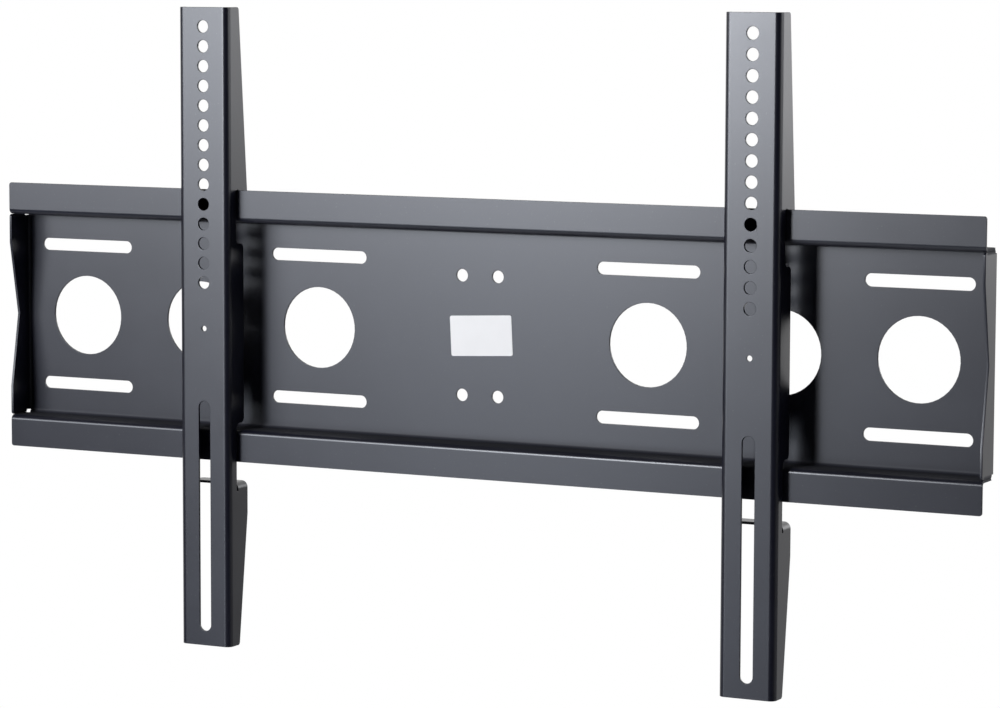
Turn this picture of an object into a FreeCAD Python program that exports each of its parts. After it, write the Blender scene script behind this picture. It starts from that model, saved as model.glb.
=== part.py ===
import FreeCAD, Part
import math
import os

# Fixed wall mount for a flat screen: one folded wall plate with an upper and a lower rail,
# and two folded arms that hook over the upper rail and slide along it.
# Frame: X to the right, Y into the wall, Z up, millimetres.
# The origin is the centre of the plate's back face, so the wall is the plane Y = 0.

# Sheet steel
plate_sheet = 2.0            # thickness of the wall plate
plate_bend = 2.0             # inside radius of its bends
arm_sheet = 2.0              # thickness of an arm
arm_bend = 3.0               # inside radius of its bends

# Wall plate and its two Z-shaped rails
plate_width = 810.0          # over the end flanges
rail_gap = 159.2             # clear height between the two webs
rail_standoff = 26.0         # wall to the front of a lip
lip_height = 24.8            # inner face of a web to the free edge of its lip
lip_corner = 2.0             # rounding of the free corners of the lips

# End flanges of the plate, with a shallow V in the front edge
end_gap = 0.2                # slit between an end flange and a web
end_corner = 2.5             # rounding of the flange's front corners
notch_half_height = 57.0     # half the height of the V
notch_depth = 10.5           # how far the V goes back from the front edge
relief_diameter = 4.5        # round relief where two bends of the plate meet

# Openings of the plate
cutout_diameter = 62.0       # round cut-outs in a row at mid height
cutout_margin = 57.0         # from the plate's end to the centre of the outermost cut-out
cutout_pitch = 105.0         # from one cut-out to the next
cutouts_per_side = 3         # counted from the middle of the plate outwards
slotted_cutouts = (0, 2)     # which of a side's cut-outs have wall slots above and below
wall_slot_length = 82.5      # end to end
wall_slot_width = 9.5        # for M8 wall screws
wall_slot_rise = 55.0        # from mid height to a row of slots
centre_hole_diameter = 9.5   # for M8 wall screws
centre_hole_span_x = 30.0    # between the two columns of centre holes
centre_hole_span_z = 90.0    # between the two rows of centre holes

# Arm: a channel with a low return flange on the left and a deep hook flange on the right
arm_width = 44.0
arm_length = 490.5
arm_rise = 139.0             # from the upper lip's edge to the top of an arm
neck_depth = 11.5            # depth of the channel where it passes in front of the rails
arm_corner = 2.5             # rounding of the free corners of the flanges
left_arm_x = -218.5          # hole column of the left arm
right_arm_x = 234.0          # hole column of the right arm

# Hook flange of an arm, outline from the top down
head_depth = 16.8            # depth at the top of the arm
finger_width = 12.8          # hook finger behind the upper lip
finger_reach = 14.0          # how far the finger hangs below the lip's edge
finger_corner = 3.5          # rounding of the finger's tip
hook_clearance = 1.0         # gap in front of and behind the lip
hang_gap = 0.3               # left between the hook and the edge that it hangs on
hook_root_corner = 1.0       # rounding at the top of the hook slot
tongue_reach = 11.0          # how far the tongue between the rails stands behind the neck
tongue_corner = 4.0          # rounding of the tongue
lift_room = 16.2             # free height for lifting an arm off the rail
swing_room = 5.0             # free height below the tongue, for swinging an arm in
foot_reach = 16.0            # how far the foot below the rails stands behind the neck
foot_height = 20.0           # straight part of the foot, below the bend of its tab
toe_depth = 15.0             # depth at the bottom of the arm

# Lock tab, bent inwards from the top of the foot
tab_relief = 2.0             # bend relief between the neck and the tab
tab_relief_drop = 1.5        # how far the relief goes below the bend
tab_end_gap = 1.5            # from the tab's end to the return flange
tab_corner = 3.0             # rounding of the tab's free corners
lock_hole_diameter = 6.5     # for an M6 lock screw

# Openings of an arm
screen_hole_diameter = 9.5   # for M8 screws into the screen
screen_hole_pitch = 15.0
screen_hole_count = 14
screen_hole_drop = 14.7      # from the arm's top to the first hole
pilot_hole_diameter = 4.3
pilot_hole_drop = 244.9      # from the arm's top
arm_slot_width = 10.0
arm_slot_drop = 300.6        # from the arm's top to the upper end of the slot
arm_slot_margin = 11.3       # from the lower end of the slot to the arm's bottom

# Label on the front of the plate, stuck on a little askew
label_width = 51.5
label_height = 30.3
label_thickness = 0.2
label_corner = 1.5
label_x = 1.3
label_z = 0.4
label_tilt = 2.8             # degrees, anticlockwise seen from the front

# Derived places
plate_bend_outer = plate_bend + plate_sheet
arm_bend_outer = arm_bend + arm_sheet
half_width = plate_width / 2
cutout_first_x = half_width - cutout_margin - (cutouts_per_side - 1) * cutout_pitch
web_inner_z = rail_gap / 2
web_outer_z = web_inner_z + plate_sheet
flat_half_height = web_inner_z - plate_bend
end_half_height = web_inner_z - end_gap
lip_edge_z = web_inner_z + lip_height
lip_back_y = plate_sheet - rail_standoff
arm_front_y = -(rail_standoff + hook_clearance + neck_depth)
arm_top_z = lip_edge_z + arm_rise
arm_bottom_z = arm_top_z - arm_length
arm_slot_length = arm_length - arm_slot_drop - arm_slot_margin
tab_top_z = -(lip_edge_z + lift_room)
tab_bend_z = tab_top_z - arm_bend_outer
finger_front_depth = neck_depth + hook_clearance + plate_sheet + hook_clearance
finger_back_depth = finger_front_depth + finger_width
tongue_depth = neck_depth + tongue_reach
foot_depth = neck_depth + foot_reach

same_point = 1e-6            # points nearer than this are one corner of an outline
X_AXIS = FreeCAD.Vector(1, 0, 0)
Y_AXIS = FreeCAD.Vector(0, 1, 0)
Z_AXIS = FreeCAD.Vector(0, 0, 1)


def corner_arc(before, corner, after, radius):
    """The start, middle and end of the arc that rounds a corner of an outline."""
    to_before = (before - corner).normalize()
    to_after = (after - corner).normalize()
    half_angle = to_before.getAngle(to_after) / 2
    setback = radius / math.tan(half_angle)
    inwards = (to_before + to_after).normalize()
    middle = corner + inwards * (radius / math.sin(half_angle) - radius)
    return corner + to_before * setback, middle, corner + to_after * setback


def rounded_face(corners):
    """A flat face whose outline runs through (point, radius) corners."""
    arcs = []
    for index, (point, radius) in enumerate(corners):
        before = corners[index - 1][0]
        after = corners[(index + 1) % len(corners)][0]
        if radius > 0:
            arcs.append(corner_arc(before, point, after, radius))
        else:
            arcs.append((point, point, point))
    edges = []
    for index, (start, middle, end) in enumerate(arcs):
        last_end = arcs[index - 1][2]
        if last_end.distanceToPoint(start) > same_point:
            edges.append(Part.makeLine(last_end, start))
        if start.distanceToPoint(end) > same_point:
            edges.append(Part.Arc(start, middle, end).toShape())
    return Part.Face(Part.Wire(edges))


def in_yz(y, z, radius=0.0):
    """A corner of a side outline."""
    return FreeCAD.Vector(0, y, z), radius


def in_xy(x, y, radius=0.0):
    """A corner of an outline seen from above."""
    return FreeCAD.Vector(x, y, 0), radius


def in_xz(x, z, radius=0.0):
    """A corner of an outline seen from the front."""
    return FreeCAD.Vector(x, 0, z), radius


def extruded_x(corners, low, high):
    """A side outline drawn out along X from low to high."""
    face = rounded_face(corners)
    face.translate(X_AXIS * low)
    return face.extrude(X_AXIS * (high - low))


def extruded_y(corners, low, high):
    """A front outline drawn out along Y from low to high."""
    face = rounded_face(corners)
    face.translate(Y_AXIS * low)
    return face.extrude(Y_AXIS * (high - low))


def extruded_z(corners, low, high):
    """A plan outline drawn out along Z from low to high."""
    face = rounded_face(corners)
    face.translate(Z_AXIS * low)
    return face.extrude(Z_AXIS * (high - low))


def rounded_rectangle(width, height, radius):
    """The corners of a rounded rectangle seen from the front, centred on the origin."""
    x = width / 2
    z = height / 2
    return [in_xz(-x, -z, radius), in_xz(x, -z, radius), in_xz(x, z, radius), in_xz(-x, z, radius)]


def hole_through(x, z, diameter, front_y, sheet):
    """The tool for a round hole through a sheet whose front face is at front_y."""
    start = FreeCAD.Vector(x, front_y - sheet, z)
    return Part.makeCylinder(diameter / 2, 3 * sheet, start, Y_AXIS)


def slot_through(x, z, width, height, front_y, sheet):
    """The tool for a round-ended slot through a sheet whose front face is at front_y."""
    outline = rounded_rectangle(width, height, min(width, height) / 2)
    tool = extruded_y(outline, front_y - sheet, front_y + 2 * sheet)
    tool.translate(FreeCAD.Vector(x, 0, z))
    return tool


def one_solid(shape):
    """The single clean solid that a chain of cuts and joins leaves."""
    return shape.removeSplitter().Solids[0]


def rails():
    """The plate's section from lip to lip, drawn out over the full width."""
    section = [
        in_yz(-rail_standoff, lip_edge_z),
        in_yz(-rail_standoff, web_inner_z, plate_bend_outer),
        in_yz(-plate_sheet, web_inner_z, plate_bend),
        in_yz(-plate_sheet, -web_inner_z, plate_bend),
        in_yz(-rail_standoff, -web_inner_z, plate_bend_outer),
        in_yz(-rail_standoff, -lip_edge_z),
        in_yz(lip_back_y, -lip_edge_z),
        in_yz(lip_back_y, -web_outer_z, plate_bend),
        in_yz(0.0, -web_outer_z, plate_bend_outer),
        in_yz(0.0, web_outer_z, plate_bend_outer),
        in_yz(lip_back_y, web_outer_z, plate_bend),
        in_yz(lip_back_y, lip_edge_z),
    ]
    rounded = extruded_y(rounded_rectangle(plate_width, 2 * lip_edge_z, lip_corner), -rail_standoff, 0.0)
    return extruded_x(section, -half_width, half_width).common(rounded)


def end_flange(side):
    """The flange at one end of the plate, with its bend; side is 1 on the right and -1 on the left."""
    bend_start = half_width - plate_bend_outer
    inner_face = half_width - plate_sheet
    section = [
        in_xy(side * bend_start, 0.0),
        in_xy(side * half_width, 0.0, plate_bend_outer),
        in_xy(side * half_width, -rail_standoff),
        in_xy(side * inner_face, -rail_standoff),
        in_xy(side * inner_face, -plate_sheet, plate_bend),
        in_xy(side * bend_start, -plate_sheet),
    ]
    outline = [
        in_yz(0.0, flat_half_height),
        in_yz(-plate_bend_outer, flat_half_height),
        in_yz(-plate_bend_outer, end_half_height),
        in_yz(-rail_standoff, end_half_height, end_corner),
        in_yz(-rail_standoff, notch_half_height),
        in_yz(notch_depth - rail_standoff, 0.0),
        in_yz(-rail_standoff, -notch_half_height),
        in_yz(-rail_standoff, -end_half_height, end_corner),
        in_yz(-plate_bend_outer, -end_half_height),
        in_yz(-plate_bend_outer, -flat_half_height),
        in_yz(0.0, -flat_half_height),
    ]
    strip = extruded_z(section, -end_half_height, end_half_height)
    return strip.common(extruded_x(outline, -half_width, half_width))


def plate_openings():
    """The tools for every hole in the flat of the plate."""
    front_y = -plate_sheet
    tools = []
    for side in (1, -1):
        for index in range(cutouts_per_side):
            x = side * (cutout_first_x + index * cutout_pitch)
            tools.append(hole_through(x, 0.0, cutout_diameter, front_y, plate_sheet))
            if index in slotted_cutouts:
                for z in (wall_slot_rise, -wall_slot_rise):
                    tools.append(slot_through(x, z, wall_slot_length, wall_slot_width, front_y, plate_sheet))
        for z in (centre_hole_span_z / 2, -centre_hole_span_z / 2):
            x = side * centre_hole_span_x / 2
            tools.append(hole_through(x, z, centre_hole_diameter, front_y, plate_sheet))
    return tools


def end_strip(side, reach, depth, half_height):
    """The tool for a strip along one end of the plate, as deep from the wall as given."""
    outline = [
        in_xy(side * (half_width - reach), 0.0),
        in_xy(side * half_width, 0.0),
        in_xy(side * half_width, -depth),
        in_xy(side * (half_width - reach), -depth),
    ]
    return extruded_z(outline, -half_height, half_height)


def wall_plate():
    """The wall plate, folded from one sheet."""
    plate = rails()
    relief_depth = plate_bend_outer + relief_diameter / 4
    for side in (1, -1):
        plate = plate.cut(end_strip(side, plate_bend_outer, plate_bend_outer, flat_half_height))
        plate = plate.cut(end_strip(side, plate_sheet, relief_depth, web_outer_z))
        plate = plate.fuse(end_flange(side))
        for z in (end_half_height, -end_half_height):
            start = FreeCAD.Vector(side * (half_width - plate_bend_outer), -relief_depth, z)
            plate = plate.cut(Part.makeCylinder(relief_diameter / 2, plate_bend_outer, start, X_AXIS * side))
    return one_solid(plate.cut(plate_openings()))


def channel():
    """The arm's section with its two flanges at full depth, drawn out over the full length."""
    half = arm_width / 2
    deepest = max(finger_back_depth, foot_depth, tongue_depth, head_depth, toe_depth)
    back_y = arm_front_y + deepest
    inner_y = arm_front_y + arm_sheet
    section = [
        in_xy(-half, back_y),
        in_xy(-half, arm_front_y, arm_bend_outer),
        in_xy(half, arm_front_y, arm_bend_outer),
        in_xy(half, back_y),
        in_xy(half - arm_sheet, back_y),
        in_xy(half - arm_sheet, inner_y, arm_bend),
        in_xy(-half + arm_sheet, inner_y, arm_bend),
        in_xy(-half + arm_sheet, back_y),
    ]
    return extruded_z(section, arm_bottom_z, arm_top_z)


def return_outline():
    """Side outline of the low left flange."""
    back_y = arm_front_y + neck_depth
    return [
        in_yz(arm_front_y, arm_top_z),
        in_yz(back_y, arm_top_z, arm_corner),
        in_yz(back_y, arm_bottom_z, arm_corner),
        in_yz(arm_front_y, arm_bottom_z),
    ]


def hook_outline():
    """Side outline of the deep right flange: hook, neck, tongue, neck, foot and toe."""
    slot_top_z = lip_edge_z + hang_gap
    finger_tip_z = lip_edge_z - finger_reach
    tongue_top_z = web_inner_z - lift_room
    tongue_bottom_z = swing_room - web_inner_z
    foot_end_z = tab_bend_z - foot_height
    relief_depth = neck_depth + tab_relief
    relief_z = tab_bend_z - tab_relief_drop
    profile = [
        (0.0, arm_top_z, 0.0),
        (head_depth, arm_top_z, arm_corner),
        (finger_back_depth, lip_edge_z, 0.0),
        (finger_back_depth, finger_tip_z, finger_corner),
        (finger_front_depth, finger_tip_z, finger_corner),
        (finger_front_depth, slot_top_z, hook_root_corner),
        (neck_depth, slot_top_z, hook_root_corner),
        (neck_depth, tongue_top_z, tongue_corner),
        (tongue_depth, tongue_top_z, tongue_corner),
        (tongue_depth, tongue_bottom_z, tongue_corner),
        (neck_depth, tongue_bottom_z, tongue_corner),
        (neck_depth, relief_z, 0.0),
        (relief_depth, relief_z, 0.0),
        (relief_depth, tab_bend_z, 0.0),
        (foot_depth, tab_bend_z, 0.0),
        (foot_depth, foot_end_z, 0.0),
        (toe_depth, arm_bottom_z, arm_corner),
        (0.0, arm_bottom_z, 0.0),
    ]
    return [in_yz(arm_front_y + depth, z, radius) for depth, z, radius in profile]


def lock_tab():
    """The tab with its bend, from the top of the foot across the inside of the channel."""
    half = arm_width / 2
    front_y = arm_front_y + neck_depth + tab_relief
    back_y = arm_front_y + foot_depth
    end_x = -half + arm_sheet + tab_end_gap
    section = [
        in_xz(half, tab_bend_z),
        in_xz(half, tab_top_z, arm_bend_outer),
        in_xz(end_x, tab_top_z),
        in_xz(end_x, tab_top_z - arm_sheet),
        in_xz(half - arm_sheet, tab_top_z - arm_sheet, arm_bend),
        in_xz(half - arm_sheet, tab_bend_z),
    ]
    outline = [
        in_xy(half, front_y),
        in_xy(half, back_y),
        in_xy(end_x, back_y, tab_corner),
        in_xy(end_x, front_y, tab_corner),
    ]
    strip = extruded_y(section, front_y, back_y)
    hole_base = FreeCAD.Vector(0, (front_y + back_y) / 2, tab_top_z - 2 * arm_sheet)
    hole = Part.makeCylinder(lock_hole_diameter / 2, 3 * arm_sheet, hole_base, Z_AXIS)
    return strip.common(extruded_z(outline, tab_bend_z, tab_top_z)).cut(hole)


def arm_openings():
    """The tools for the holes and the slot in the front of an arm."""
    tools = []
    for index in range(screen_hole_count):
        z = arm_top_z - screen_hole_drop - index * screen_hole_pitch
        tools.append(hole_through(0.0, z, screen_hole_diameter, arm_front_y, arm_sheet))
    pilot_z = arm_top_z - pilot_hole_drop
    tools.append(hole_through(0.0, pilot_z, pilot_hole_diameter, arm_front_y, arm_sheet))
    slot_z = arm_top_z - arm_slot_drop - arm_slot_length / 2
    tools.append(slot_through(0.0, slot_z, arm_slot_width, arm_slot_length, arm_front_y, arm_sheet))
    return tools


def arm():
    """An arm with its hole column at X = 0, folded from one sheet."""
    half = arm_width / 2
    outline = extruded_x(return_outline(), -half, 0.0).fuse(extruded_x(hook_outline(), 0.0, half))
    folded = channel().common(outline).fuse(lock_tab())
    return one_solid(folded.cut(arm_openings()))


def label():
    """The blank label on the front of the plate."""
    corners = rounded_rectangle(label_width, label_height, label_corner)
    sticker = extruded_y(corners, -plate_sheet - label_thickness, -plate_sheet)
    sticker.rotate(FreeCAD.Vector(0, 0, 0), Y_AXIS, -label_tilt)
    sticker.translate(FreeCAD.Vector(label_x, 0, label_z))
    return sticker


def at_x(shape, x):
    """A copy of a shape moved along X."""
    copy = shape.copy()
    copy.translate(X_AXIS * x)
    return copy


hook_arm = arm()
pieces = {
    "wall_plate": wall_plate(),
    "left_arm": at_x(hook_arm, left_arm_x),
    "right_arm": at_x(hook_arm, right_arm_x),
    "label": label(),
}

os.makedirs("parts", exist_ok=True)
for name, shape in pieces.items():
    shape.exportStep(f"parts/{name}.step")
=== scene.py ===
import logging
import math
from dataclasses import dataclass, field
from enum import Enum
from typing import Any, Dict, List, Optional, Set, Tuple, Union

import bmesh
import bpy
from mathutils import Matrix, Vector
from mathutils.bvhtree import BVHTree


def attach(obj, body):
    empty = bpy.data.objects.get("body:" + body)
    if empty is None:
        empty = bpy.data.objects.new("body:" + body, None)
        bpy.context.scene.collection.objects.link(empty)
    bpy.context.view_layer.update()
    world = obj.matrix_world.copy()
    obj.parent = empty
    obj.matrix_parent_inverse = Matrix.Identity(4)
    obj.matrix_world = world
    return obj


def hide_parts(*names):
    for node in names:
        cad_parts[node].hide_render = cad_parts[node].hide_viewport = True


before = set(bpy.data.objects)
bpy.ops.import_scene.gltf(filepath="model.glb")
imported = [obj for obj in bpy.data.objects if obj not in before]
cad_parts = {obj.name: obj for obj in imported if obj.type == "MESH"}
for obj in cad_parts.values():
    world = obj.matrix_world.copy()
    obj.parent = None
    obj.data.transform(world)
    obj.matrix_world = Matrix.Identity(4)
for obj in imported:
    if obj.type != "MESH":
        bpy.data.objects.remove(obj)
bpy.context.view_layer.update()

Colour = Tuple[float, float, float, float]
Point = Tuple[float, float, float]
Ramp = Tuple[float, float]
Term = Union["Signal", float]

LOG = logging.getLogger("tv_mount")
MILLIMETRE = 0.001
IMAGE_WIDTH_PX = 1000
SENSOR_WIDTH_MM = 36.0
NOISE_MEAN = 0.5
FULL_STRENGTH = 1.0
WHITE: Colour = (1.0, 1.0, 1.0, 1.0)

# Sockets of the Mix node when it mixes colours.
MIX_SHARE = 0
MIX_FIRST = 6
MIX_SECOND = 7
MIX_RESULT = 2

# How far from the plate's middle the dry folds of its rails begin, and how far from the wall they end.
RAIL_FOLD_HEIGHT = 78.5 * MILLIMETRE
RAIL_FOLD_DEPTH = -21.0 * MILLIMETRE
ARM_COAT_REFRACTION = 1.68


class Slot(Enum):
    """Material slot names that new pieces carry; nothing in this script reads them."""

    PLATE_COAT = "plate_coat"
    ARM_COAT = "arm_coat"


class Body(Enum):
    """Bodies that a piece can ride on."""

    WALL_PLATE = "wall_plate"
    LEFT_ARM = "left_arm"
    RIGHT_ARM = "right_arm"


def deselect_all() -> None:
    """Leaves nothing selected and no object in edit mode."""
    if bpy.context.object is not None and bpy.context.object.mode != "OBJECT":
        bpy.ops.object.mode_set(mode="OBJECT")
    bpy.ops.object.select_all(action="DESELECT")


def make_active(piece: bpy.types.Object) -> None:
    """Selects one object alone and makes it the active one.

    Args:
        piece: the object.
    """
    deselect_all()
    piece.select_set(True)
    bpy.context.view_layer.objects.active = piece


class Signal:
    """A shader socket that takes part in Python sums; each sum adds a Math node."""

    def __init__(self, sheet: "NodeSheet", socket: bpy.types.NodeSocket) -> None:
        """Wraps a socket.

        Args:
            sheet: the node sheet that the socket is on.
            socket: the output socket.
        """
        self.sheet = sheet
        self.socket = socket

    def _sum(self, operation: str, first: Term, second: Term) -> "Signal":
        """Adds one Math node.

        Args:
            operation: the Math node's operation.
            first: its first value or signal.
            second: its second value or signal.

        Returns:
            The node's result.
        """
        return self.sheet.node("ShaderNodeMath", {"operation": operation}, {0: first, 1: second})

    def __add__(self, other: Term) -> "Signal":
        """Sum of two signals or a signal and a number."""
        return self._sum("ADD", self, other)

    def __radd__(self, other: Term) -> "Signal":
        """Sum with the number in front."""
        return self._sum("ADD", other, self)

    def __sub__(self, other: Term) -> "Signal":
        """Difference of two signals or a signal and a number."""
        return self._sum("SUBTRACT", self, other)

    def __rsub__(self, other: Term) -> "Signal":
        """Difference with the number in front."""
        return self._sum("SUBTRACT", other, self)

    def __mul__(self, other: Term) -> "Signal":
        """Product of two signals or a signal and a number."""
        return self._sum("MULTIPLY", self, other)

    def __rmul__(self, other: Term) -> "Signal":
        """Product with the number in front."""
        return self._sum("MULTIPLY", other, self)

    def __abs__(self) -> "Signal":
        """Size of a signal without its sign."""
        return self._sum("ABSOLUTE", self, 0.0)

    def at_most(self, limit: float) -> "Signal":
        """The signal, held at or below a limit."""
        return self._sum("MINIMUM", self, limit)

    def steps(self, low: float, high: float) -> "Signal":
        """Smooth step of the signal.

        Args:
            low: the value at and below which the result is 0.
            high: the value at and above which the result is 1.

        Returns:
            A signal from 0 to 1.
        """
        settings = {"interpolation_type": "SMOOTHSTEP"}
        inputs = {"Value": self, "From Min": low, "From Max": high}
        return self.sheet.node("ShaderNodeMapRange", settings, inputs)


class NodeSheet:
    """The node tree of one material or of the world."""

    def __init__(self, tree: bpy.types.NodeTree) -> None:
        """Empties a tree and takes it over.

        Args:
            tree: the node tree.
        """
        tree.nodes.clear()
        self.tree = tree

    def node(self, kind: str, settings: Optional[Dict[str, Any]] = None,
             inputs: Optional[Dict[Union[str, int], Any]] = None, output: Union[str, int] = 0) -> Signal:
        """Adds a node.

        Args:
            kind: the node's type.
            settings: its properties, set before its sockets.
            inputs: values or signals by socket name or number.
            output: the output that is handed back.

        Returns:
            The chosen output, or the node's first output.
        """
        made = self.tree.nodes.new(kind)
        for name, value in (settings or {}).items():
            setattr(made, name, value)
        for key, value in (inputs or {}).items():
            if isinstance(value, Signal):
                self.tree.links.new(value.socket, made.inputs[key])
            else:
                made.inputs[key].default_value = value
        return Signal(self, made.outputs[output] if made.outputs else None)

    def split(self, place: Signal) -> Tuple[Signal, Signal, Signal]:
        """Takes a place apart.

        Args:
            place: the coordinates.

        Returns:
            Its X, Y and Z.
        """
        first = self.node("ShaderNodeSeparateXYZ", inputs={0: place})
        outputs = first.socket.node.outputs
        return first, Signal(self, outputs["Y"]), Signal(self, outputs["Z"])

    def noise(self, place: Signal, scale: float, octaves: float, harshness: float = 0.5) -> Signal:
        """Noise from 0 to 1.

        Args:
            place: the coordinates that it reads.
            scale: waves per metre.
            octaves: how many finer octaves are added.
            harshness: how strong the finer octaves are.

        Returns:
            The noise value.
        """
        inputs = {"Vector": place, "Scale": scale, "Detail": octaves, "Roughness": harshness}
        return self.node("ShaderNodeTexNoise", {"noise_dimensions": "3D"}, inputs, "Fac")

    def bump(self, height: Signal, distance: float) -> Signal:
        """Surface relief.

        Args:
            height: the relief, from 0 to 1.
            distance: its full height in metres.

        Returns:
            The bumped normal.
        """
        return self.node("ShaderNodeBump", inputs={"Strength": 1.0, "Distance": distance, "Height": height})

    def blend(self, share: Signal, low: Union[Colour, Signal], high: Union[Colour, Signal]) -> Signal:
        """Mixes two colours.

        Args:
            share: 0 for the first colour, 1 for the second.
            low: the first colour.
            high: the second colour.

        Returns:
            The mixed colour.
        """
        inputs = {MIX_SHARE: share, MIX_FIRST: low, MIX_SECOND: high}
        return self.node("ShaderNodeMix", {"data_type": "RGBA"}, inputs, MIX_RESULT)


@dataclass(frozen=True)
class PowderCoat:
    """Blue-black semi-gloss powder coat: a low orange peel, faint clouding and a few pale specks."""

    name: str
    colour: Colour = (0.0032, 0.0036, 0.0105, 1.0)
    bloom: Colour = (0.0052, 0.0057, 0.0135, 1.0)
    speck: Colour = (0.03, 0.031, 0.033, 1.0)
    roughness: float = 0.31
    cloud_roughness: float = 0.05
    grain_roughness: float = 0.025
    refraction: float = 1.62
    peel_waves: float = 420.0
    peel_octaves: float = 2.0
    peel_height: float = 0.003 * MILLIMETRE
    grain_waves: float = 1700.0
    grain_octaves: float = 1.0
    grain_share: float = 0.25
    cloud_waves: float = 16.0
    cloud_octaves: float = 4.0
    cloud_harshness: float = 0.6
    cloud_ramp: Ramp = (0.35, 0.75)
    speck_waves: float = 900.0
    speck_octaves: float = 0.0
    speck_ramp: Ramp = (0.80, 0.86)
    fold_height: float = 0.0
    fold_depth: float = 0.0
    fold_height_fade: float = 2.0 * MILLIMETRE
    fold_depth_fade: float = 5.0 * MILLIMETRE
    fold_roughness: float = 0.5

    def material(self) -> bpy.types.Material:
        """Builds the finish.

        Returns:
            The material.
        """
        material = bpy.data.materials.new(self.name)
        material.use_nodes = True
        sheet = NodeSheet(material.node_tree)
        place = sheet.node("ShaderNodeTexCoord", output="Object")
        peel = sheet.noise(place, self.peel_waves, self.peel_octaves)
        grain = sheet.noise(place, self.grain_waves, self.grain_octaves)
        cloud = sheet.noise(place, self.cloud_waves, self.cloud_octaves, self.cloud_harshness)
        specks = sheet.noise(place, self.speck_waves, self.speck_octaves).steps(*self.speck_ramp)
        body = sheet.blend(cloud.steps(*self.cloud_ramp), self.colour, self.bloom)
        rough = self.roughness + (cloud - NOISE_MEAN) * self.cloud_roughness
        rough = rough + (grain - NOISE_MEAN) * self.grain_roughness
        if self.fold_height > 0.0:
            rough = rough + self.dry_folds(sheet, place) * self.fold_roughness
        coat = sheet.node("ShaderNodeBsdfPrincipled", inputs={
            "Base Color": sheet.blend(specks, body, self.speck),
            "Roughness": rough,
            "Metallic": 0.0,
            "IOR": self.refraction,
            "Normal": sheet.bump(peel + grain * self.grain_share, self.peel_height),
        })
        sheet.node("ShaderNodeOutputMaterial", inputs={"Surface": coat})
        return material

    def dry_folds(self, sheet: NodeSheet, place: Signal) -> Signal:
        """Marks the folds of the rails, where powder settles thin and dry.

        Args:
            sheet: the material's node sheet.
            place: the object's coordinates.

        Returns:
            1 in a fold, 0 on the open faces.
        """
        _, depth, height = sheet.split(place)
        outer = abs(height).steps(self.fold_height - self.fold_height_fade, self.fold_height)
        return outer * depth.steps(self.fold_depth - self.fold_depth_fade, self.fold_depth)


@dataclass(frozen=True)
class LabelFilm:
    """Matt white film with a faint fibre and a slightly yellowed tone."""

    name: str
    colour: Colour = (0.89, 0.865, 0.83, 1.0)
    shade: Colour = (0.86, 0.835, 0.80, 1.0)
    roughness: float = 0.42
    fibre_roughness: float = 0.1
    refraction: float = 1.45
    fibre_waves: float = 700.0
    fibre_height: float = 0.01 * MILLIMETRE
    tone_waves: float = 45.0
    tone_ramp: Ramp = (0.3, 0.8)
    octaves: float = 3.0

    def material(self) -> bpy.types.Material:
        """Builds the finish.

        Returns:
            The material.
        """
        material = bpy.data.materials.new(self.name)
        material.use_nodes = True
        sheet = NodeSheet(material.node_tree)
        place = sheet.node("ShaderNodeTexCoord", output="Object")
        fibre = sheet.noise(place, self.fibre_waves, self.octaves)
        tone = sheet.noise(place, self.tone_waves, self.octaves)
        film = sheet.node("ShaderNodeBsdfPrincipled", inputs={
            "Base Color": sheet.blend(tone.steps(*self.tone_ramp), self.colour, self.shade),
            "Roughness": self.roughness + (fibre - NOISE_MEAN) * self.fibre_roughness,
            "IOR": self.refraction,
            "Normal": sheet.bump(fibre, self.fibre_height),
        })
        sheet.node("ShaderNodeOutputMaterial", inputs={"Surface": film})
        return material


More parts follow.
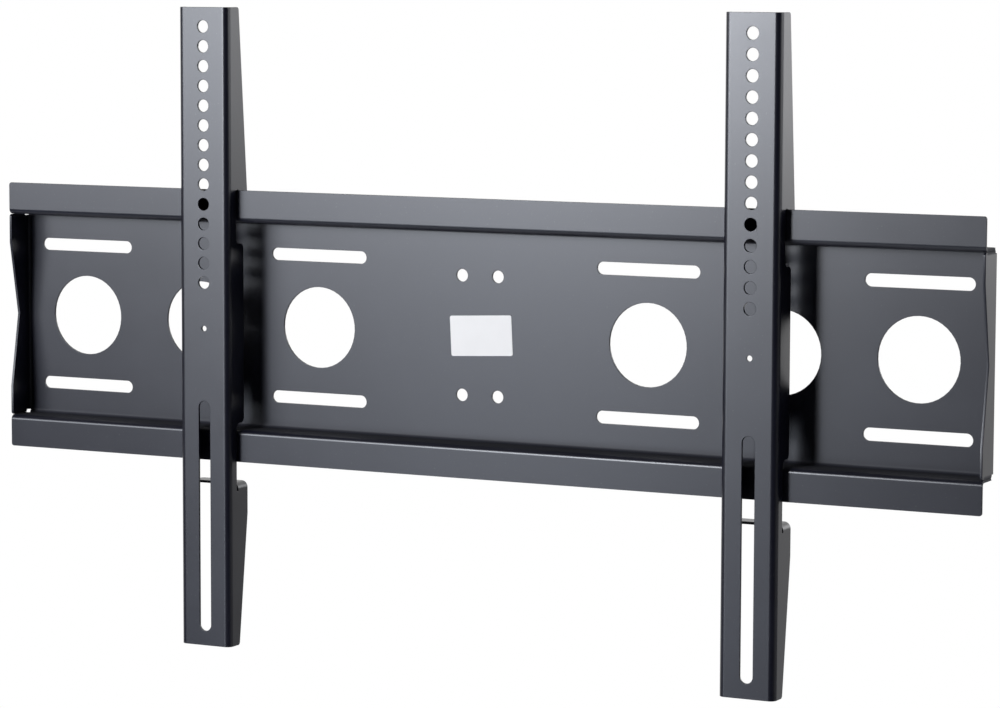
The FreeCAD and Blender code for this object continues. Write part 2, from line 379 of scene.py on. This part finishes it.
@dataclass
class FoldedSheet:
    """A piece folded from one steel sheet, with its cut edges rounded as paint leaves them."""

    node: str
    body: Body
    slot: Slot
    edge_radius: float = 0.3 * MILLIMETRE
    edge_segments: int = 2
    sharp_angle: float = math.radians(40.0)
    needle_angle: float = math.radians(15.0)
    flat_angle: float = math.radians(0.3)
    flat_weight: int = 100
    weld_distance: float = 0.002 * MILLIMETRE
    stray_limit: float = 0.1 * MILLIMETRE
    piece: Optional[bpy.types.Object] = field(default=None, init=False)

    def build(self) -> None:
        """Copies the node's mesh, welds it, clears its flat faces and rounds its cut edges."""
        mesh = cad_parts[self.node].data.copy()
        self.piece = bpy.data.objects.new(self.node + "_coated", mesh)
        bpy.context.scene.collection.objects.link(self.piece)
        make_active(self.piece)
        bpy.ops.object.mode_set(mode="EDIT")
        bpy.ops.mesh.select_all(action="SELECT")
        bpy.ops.mesh.remove_doubles(threshold=self.weld_distance)
        bpy.ops.mesh.dissolve_limited(angle_limit=self.flat_angle)
        bpy.ops.object.mode_set(mode="OBJECT")
        self.mark_edges()
        self.round_edges()
        self.settle()
        self.even_shading()

    def mark_edges(self) -> None:
        """Weights the cut edges for rounding, without those that run into a slit's needle-shaped tip."""
        shape = bmesh.new()
        shape.from_mesh(self.piece.data)
        weight = shape.edges.layers.float.new("bevel_weight_edge")
        cut = {edge for edge in shape.edges if edge.calc_face_angle(0.0) > self.sharp_angle}
        for edge in cut:
            edge[weight] = 0.0 if self.in_needle(edge, cut) else 1.0
        shape.to_mesh(self.piece.data)
        shape.free()

    def in_needle(self, edge: bmesh.types.BMEdge, cut: Set[bmesh.types.BMEdge]) -> bool:
        """Tells whether a cut edge meets another one at a needle-sharp angle.

        Args:
            edge: the edge in question.
            cut: all cut edges.

        Returns:
            True at a slit's tip.
        """
        for tip in edge.verts:
            way = edge.other_vert(tip).co - tip.co
            for other in tip.link_edges:
                if other == edge or other not in cut:
                    continue
                if way.angle(other.other_vert(tip).co - tip.co) < self.needle_angle:
                    return True
        return False

    def round_edges(self) -> None:
        """Bevels the marked edges and applies the modifier."""
        bevel = self.piece.modifiers.new("cut_edges", "BEVEL")
        bevel.width = self.edge_radius
        bevel.segments = self.edge_segments
        bevel.limit_method = "WEIGHT"
        bevel.use_clamp_overlap = False
        bpy.ops.object.modifier_apply(modifier=bevel.name)

    def settle(self) -> None:
        """Puts back onto the sheet any point that the rounding throws too far off it."""
        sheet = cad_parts[self.node].data
        corners = [point.co for point in sheet.vertices]
        skin = BVHTree.FromPolygons(corners, [face.vertices for face in sheet.polygons])
        for point in self.piece.data.vertices:
            place, _, _, distance = skin.find_nearest(point.co)
            if distance > self.stray_limit:
                point.co = place

    def even_shading(self) -> None:
        """Shades the bends smooth and keeps the flats flat."""
        bpy.ops.object.shade_smooth()
        weighted = self.piece.modifiers.new("flat_faces", "WEIGHTED_NORMAL")
        weighted.mode = "FACE_AREA"
        weighted.weight = self.flat_weight
        weighted.keep_sharp = False
        bpy.ops.object.modifier_apply(modifier=weighted.name)

    def dress(self, finish: bpy.types.Material) -> None:
        """Gives the piece its finish and its place in the frame.

        Args:
            finish: the material.
        """
        self.piece.data.materials.clear()
        self.piece.data.materials.append(finish)
        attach(self.piece, self.body.value)
        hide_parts(self.node)


@dataclass
class BlankLabel:
    """The label on the panel: a thin film with no print, in the node's own shape."""

    node: str = "label"
    piece: Optional[bpy.types.Object] = field(default=None, init=False)

    def build(self) -> None:
        """Takes the node's own shape."""
        self.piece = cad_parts[self.node]

    def dress(self, finish: bpy.types.Material) -> None:
        """Gives the label its finish.

        Args:
            finish: the material.
        """
        self.piece.data.materials.clear()
        self.piece.data.materials.append(finish)


@dataclass(frozen=True)
class Softbox:
    """A rectangular lamp."""

    name: str
    centre: Point
    width: float
    height: float
    radiance: float
    tint: Point
    aim: Point = (0.0, 0.0, 0.0)

    def build(self) -> None:
        """Adds the lamp, unseen by the camera."""
        lamp = bpy.data.lights.new(self.name, "AREA")
        lamp.shape = "RECTANGLE"
        lamp.size = self.width
        lamp.size_y = self.height
        lamp.energy = self.radiance * math.pi * self.width * self.height
        lamp.color = self.tint
        stand = bpy.data.objects.new(self.name, lamp)
        bpy.context.scene.collection.objects.link(stand)
        stand.location = self.centre
        towards = Vector(self.aim) - Vector(self.centre)
        stand.rotation_euler = towards.to_track_quat("-Z", "Y").to_euler()
        stand.visible_camera = False


@dataclass(frozen=True)
class Viewpoint:
    """The camera, as solved from the photograph's hole grids."""

    place: Point = (1.2607, -2.4495, 0.2737)
    yaw: float = math.radians(26.937)
    pitch: float = math.radians(5.952)
    roll: float = math.radians(0.198)
    focal_px: float = 3704.12
    reach: float = 100.0

    def build(self) -> None:
        """Adds the camera and makes it the scene's."""
        level = Vector((math.cos(self.yaw), math.sin(self.yaw), 0.0))
        outward = Vector((math.sin(self.yaw), -math.cos(self.yaw), 0.0))
        back = outward * math.cos(self.pitch) + Vector((0.0, 0.0, math.sin(self.pitch)))
        upright = back.cross(level)
        right = level * math.cos(self.roll) + upright * math.sin(self.roll)
        up = upright * math.cos(self.roll) - level * math.sin(self.roll)
        lens = bpy.data.cameras.new("viewpoint")
        lens.sensor_fit = "HORIZONTAL"
        lens.sensor_width = SENSOR_WIDTH_MM
        lens.lens = SENSOR_WIDTH_MM * self.focal_px / IMAGE_WIDTH_PX
        lens.clip_end = self.reach
        camera = bpy.data.objects.new("viewpoint", lens)
        bpy.context.scene.collection.objects.link(camera)
        turned = Matrix((right, up, back)).transposed().to_4x4()
        camera.matrix_world = Matrix.Translation(self.place) @ turned
        bpy.context.scene.camera = camera


@dataclass(frozen=True)
class Studio:
    """Pale floor, white surroundings and soft lamps."""

    floor_z: float = -1.1
    floor_radius: float = 1.9
    floor_fade: float = 0.7
    floor_sides: int = 96
    floor_colour: Colour = (0.9, 0.9, 0.9, 1.0)
    ambient: float = 0.1
    front_glow: float = 0.03
    backdrop_ramp: Ramp = (-0.25, 0.15)
    backdrop_width: float = 0.74
    backdrop_flare: float = 1.44
    backdrop_edge: float = 0.05
    table_glow: float = 0.62
    table_ramp: Ramp = (-0.12, -0.02)
    sweep_ramp: Ramp = (-0.34, -0.22)
    lamps: Tuple[Softbox, ...] = (
        Softbox("key_box", centre=(-0.90, -2.3, 0.55), width=0.42, height=0.76, radiance=30.0,
                tint=(0.90, 0.93, 1.0)),
        Softbox("fill_box", centre=(-1.09, -2.3, -0.45), width=0.44, height=1.20, radiance=3.5,
                tint=(0.80, 0.87, 1.0)),
        Softbox("side_box", centre=(-1.65, -2.3, 0.50), width=1.58, height=0.98, radiance=7.4,
                tint=(0.88, 0.92, 1.0)),
        Softbox("rim_box", centre=(1.5, 2.2, 0.62), width=1.3, height=1.3, radiance=1.8,
                tint=(0.95, 0.96, 1.0)),
        Softbox("wing_box", centre=(2.15, 0.55, 0.60), width=1.6, height=1.1, radiance=2.4,
                tint=(0.95, 0.96, 1.0), aim=(0.0, 0.0, 0.1)),
    )

    def build(self) -> None:
        """Adds floor, surroundings and lamps, and keeps colours as they are written."""
        self.floor()
        self.surroundings()
        for lamp in self.lamps:
            lamp.build()
        bpy.context.scene.view_settings.view_transform = "Standard"

    def floor(self) -> None:
        """A round pale floor that fades out at its rim."""
        deselect_all()
        bpy.ops.mesh.primitive_circle_add(vertices=self.floor_sides, radius=self.floor_radius,
                                          fill_type="NGON", location=(0.0, 0.0, self.floor_z))
        floor = bpy.context.object
        floor.name = "studio_floor"
        bpy.ops.object.transform_apply(location=True, rotation=False, scale=False)
        floor.data.materials.append(self.floor_paper())

    def floor_paper(self) -> bpy.types.Material:
        """Builds the floor's finish.

        Returns:
            The material, clear at the floor's rim.
        """
        material = bpy.data.materials.new("floor_paper")
        material.use_nodes = True
        sheet = NodeSheet(material.node_tree)
        place = sheet.node("ShaderNodeTexCoord", output="Object")
        flat = sheet.node("ShaderNodeVectorMath", {"operation": "MULTIPLY"}, {0: place, 1: (1.0, 1.0, 0.0)})
        reach = sheet.node("ShaderNodeVectorMath", {"operation": "LENGTH"}, {0: flat}, "Value")
        rim = reach.steps(self.floor_radius - self.floor_fade, self.floor_radius)
        paper = sheet.node("ShaderNodeBsdfDiffuse", inputs={"Color": self.floor_colour})
        clear = sheet.node("ShaderNodeBsdfTransparent")
        shown = sheet.node("ShaderNodeMixShader", inputs={0: rim, 1: paper, 2: clear})
        sheet.node("ShaderNodeOutputMaterial", inputs={"Surface": shown})
        return material

    def surroundings(self) -> None:
        """White to the camera and in reflections from behind, softer in front, and even light all round."""
        world = bpy.data.worlds.new("studio")
        bpy.context.scene.world = world
        world.use_nodes = True
        sheet = NodeSheet(world.node_tree)
        seen = sheet.node("ShaderNodeLightPath", output="Is Camera Ray")
        light_path = seen.socket.node
        glossy = Signal(sheet, light_path.outputs["Is Glossy Ray"])
        clear = Signal(sheet, light_path.outputs["Is Transmission Ray"])
        shown = (seen + glossy * self.mirrored(sheet) + clear).at_most(FULL_STRENGTH)
        unseen = 1.0 - (seen + glossy + clear).at_most(1.0)
        strength = shown + unseen * self.ambient
        glow = sheet.node("ShaderNodeBackground", inputs={"Color": WHITE, "Strength": strength})
        sheet.node("ShaderNodeOutputWorld", inputs={"Surface": glow})

    def mirrored(self, sheet: NodeSheet) -> Signal:
        """What gloss reflects: a white backdrop and a white sweep below it, both behind the part.

        Args:
            sheet: the world's node sheet.

        Returns:
            The strength by direction.
        """
        place = sheet.node("ShaderNodeTexCoord", output="Generated")
        aside, depth, rise = sheet.split(place)
        spread = aside - depth * (self.backdrop_width + self.backdrop_flare * rise)
        backdrop = 1.0 - spread.steps(-self.backdrop_edge, self.backdrop_edge)
        level = self.table_glow + (1.0 - self.table_glow) * rise.steps(*self.table_ramp)
        sweep = 1.0 - rise.steps(*self.sweep_ramp)
        behind = depth.steps(*self.backdrop_ramp) * (backdrop * level + sweep)
        return self.front_glow + behind * (1.0 - self.front_glow)


def main() -> None:
    """Builds the mount and its studio in order."""
    logging.basicConfig(level=logging.INFO, format="%(name)s: %(message)s")
    plate_coat = PowderCoat("plate_powder_coat", fold_height=RAIL_FOLD_HEIGHT, fold_depth=RAIL_FOLD_DEPTH)
    arm_coat = PowderCoat("arm_powder_coat", refraction=ARM_COAT_REFRACTION)
    plate_finish = plate_coat.material()
    arm_finish = arm_coat.material()
    film = LabelFilm("label_film").material()
    plan: List[Tuple[Union[FoldedSheet, BlankLabel], bpy.types.Material]] = [
        (FoldedSheet("wall_plate", Body.WALL_PLATE, Slot.PLATE_COAT), plate_finish),
        (FoldedSheet("left_arm", Body.LEFT_ARM, Slot.ARM_COAT), arm_finish),
        (FoldedSheet("right_arm", Body.RIGHT_ARM, Slot.ARM_COAT), arm_finish),
        (BlankLabel(), film),
    ]
    for part, finish in plan:
        part.build()
        part.dress(finish)
        LOG.info("%s: %d faces", part.piece.name, len(part.piece.data.polygons))
    Viewpoint().build()
    Studio().build()
    deselect_all()


if __name__ == "__main__":
    main()
